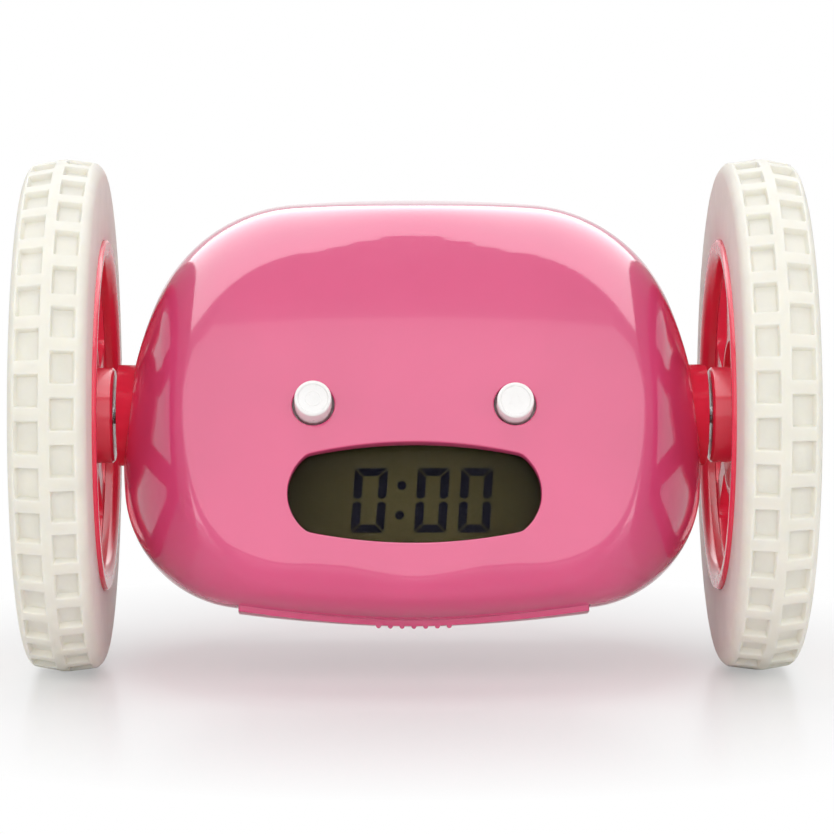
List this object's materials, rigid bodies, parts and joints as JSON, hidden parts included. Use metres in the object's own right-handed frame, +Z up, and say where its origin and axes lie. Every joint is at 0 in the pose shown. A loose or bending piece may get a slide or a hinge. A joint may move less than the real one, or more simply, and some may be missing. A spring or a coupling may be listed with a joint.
{
  "type": "runaway alarm clock",
  "caption": "Rounded pink alarm clock slung between two large soft-tyred wheels, each driven by its own geared motor, with a window display, push buttons and a battery bay",
  "frame": {"origin": "on the surface the wheels stand on, under the middle of the clock", "axes": "X along the wheel axle, -Y out of the display, +Z up"},
  "size_m": [0.1328, 0.089, 0.089],
  "materials": {
    "casing_pink": "pink ABS, moulded glossy",
    "hub_red": "red translucent-edged plastic, glossy",
    "tyre_silicone": "off-white translucent silicone",
    "button_white": "white plastic",
    "lens_clear": "clear acrylic",
    "display_olive": "liquid-crystal glass, olive",
    "frame_black": "black ABS",
    "collar_pink": "pink ABS",
    "board_green": "green laminate",
    "switch_dark": "black nylon",
    "strip_rubber": "striped connector rubber",
    "screw_steel": "zinc plated",
    "gear_white": "white acetal",
    "pinion_brass": "turned brass",
    "motor_metal": "plated can",
    "cell_jacket": "plain dark jacket"
  },
  "bodies": {
    "casing": {"alarm_switch_case": "switch_dark", "battery_cells": "cell_jacket", "battery_contacts": "screw_steel", "battery_tray": "frame_black", "board_screws": "screw_steel", "casing_screws": "screw_steel", "control_chip": "switch_dark", "display_connectors": "strip_rubber", "display_frame": "frame_black", "display_glass": "display_olive", "display_lens": "lens_clear", "face_switches": "switch_dark", "front_shell": "casing_pink", "key_board": "board_green", "key_switches": "switch_dark", "left_gear_pins": "screw_steel", "left_gearbox_base": "frame_black", "left_gearbox_cover": "collar_pink", "left_gearbox_screws": "screw_steel", "left_motor": "motor_metal", "loudspeaker": "motor_metal", "main_board": "board_green", "rear_shell": "casing_pink", "right_gear_pins": "screw_steel", "right_gearbox_base": "frame_black", "right_gearbox_cover": "collar_pink", "right_gearbox_screws": "screw_steel", "right_motor": "motor_metal", "snooze_board": "board_green", "snooze_switch": "switch_dark"},
    "left_wheel": {"left_tyre": "tyre_silicone", "left_hub": "hub_red", "left_hub_cap": "hub_red", "left_axle": "screw_steel", "left_wheel_screw": "screw_steel", "left_output_gear": "gear_white"},
    "left_second_gear": {"left_second_gear": "gear_white"},
    "left_first_gear": {"left_first_gear": "gear_white"},
    "left_motor_pinion": {"left_motor_pinion": "pinion_brass"},
    "right_wheel": {"right_tyre": "tyre_silicone", "right_hub": "hub_red", "right_hub_cap": "hub_red", "right_axle": "screw_steel", "right_wheel_screw": "screw_steel", "right_output_gear": "gear_white"},
    "right_second_gear": {"right_second_gear": "gear_white"},
    "right_first_gear": {"right_first_gear": "gear_white"},
    "right_motor_pinion": {"right_motor_pinion": "pinion_brass"},
    "left_button": {"left_button": "button_white"},
    "right_button": {"right_button": "button_white"},
    "hour_button": {"hour_button": "button_white"},
    "minute_button": {"minute_button": "button_white"},
    "snooze_bar": {"snooze_bar": "casing_pink"},
    "alarm_switch": {"alarm_switch": "button_white"},
    "battery_door": {"battery_door": "casing_pink", "battery_door_screws": "screw_steel"}
  },
  "joints": [
    {"name": "left_wheel_spin", "type": "hinge", "parent": "casing", "child": "left_wheel", "pos_m": [-0.06, 0, 0.0445], "axis": [1, 0, 0], "continuous": true},
    {"name": "left_second_gear_spin", "type": "hinge", "parent": "casing", "child": "left_second_gear", "pos_m": [-0.037, 0.00951, 0.04141], "axis": [1, 0, 0], "continuous": true},
    {"name": "left_first_gear_spin", "type": "hinge", "parent": "casing", "child": "left_first_gear", "pos_m": [-0.037, 0.01451, 0.05007], "axis": [1, 0, 0], "continuous": true},
    {"name": "left_motor_pinion_spin", "type": "hinge", "parent": "casing", "child": "left_motor_pinion", "pos_m": [-0.037, 0.00451, 0.05007], "axis": [1, 0, 0], "continuous": true},
    {"name": "right_wheel_spin", "type": "hinge", "parent": "casing", "child": "right_wheel", "pos_m": [0.06, 0, 0.0445], "axis": [1, 0, 0], "continuous": true},
    {"name": "right_second_gear_spin", "type": "hinge", "parent": "casing", "child": "right_second_gear", "pos_m": [0.037, 0.00951, 0.04141], "axis": [1, 0, 0], "continuous": true},
    {"name": "right_first_gear_spin", "type": "hinge", "parent": "casing", "child": "right_first_gear", "pos_m": [0.037, 0.01451, 0.05007], "axis": [1, 0, 0], "continuous": true},
    {"name": "right_motor_pinion_spin", "type": "hinge", "parent": "casing", "child": "right_motor_pinion", "pos_m": [0.037, 0.00451, 0.05007], "axis": [1, 0, 0], "continuous": true},
    {"name": "left_button_press", "type": "slide", "parent": "casing", "child": "left_button", "axis": [0, 0.9272, -0.3746], "range_m": [0, 0.0008], "stiffness_N_per_m": 300},
    {"name": "right_button_press", "type": "slide", "parent": "casing", "child": "right_button", "axis": [0, 0.9272, -0.3746], "range_m": [0, 0.0008], "stiffness_N_per_m": 300},
    {"name": "hour_button_press", "type": "slide", "parent": "casing", "child": "hour_button", "axis": [0, -1, 0], "range_m": [0, 0.0008], "stiffness_N_per_m": 300},
    {"name": "minute_button_press", "type": "slide", "parent": "casing", "child": "minute_button", "axis": [0, -1, 0], "range_m": [0, 0.0008], "stiffness_N_per_m": 300},
    {"name": "snooze_bar_press", "type": "slide", "parent": "casing", "child": "snooze_bar", "axis": [0, 0, -1], "range_m": [0, 0.0008], "stiffness_N_per_m": 300},
    {"name": "alarm_switch_slide", "type": "slide", "parent": "casing", "child": "alarm_switch", "axis": [-1, 0, 0], "range_m": [0, 0.003]},
    {"name": "battery_door_lift_off", "type": "slide", "parent": "casing", "child": "battery_door", "axis": [0, 0, -1], "range_m": [0, 0.02]}
  ],
  "couplings": [
    {"joint": "left_second_gear_spin", "follows": "left_wheel_spin", "ratio": -3},
    {"joint": "left_first_gear_spin", "follows": "left_wheel_spin", "ratio": 9},
    {"joint": "left_motor_pinion_spin", "follows": "left_wheel_spin", "ratio": -27},
    {"joint": "right_second_gear_spin", "follows": "right_wheel_spin", "ratio": -3},
    {"joint": "right_first_gear_spin", "follows": "right_wheel_spin", "ratio": 9},
    {"joint": "right_motor_pinion_spin", "follows": "right_wheel_spin", "ratio": -27}
  ]
}
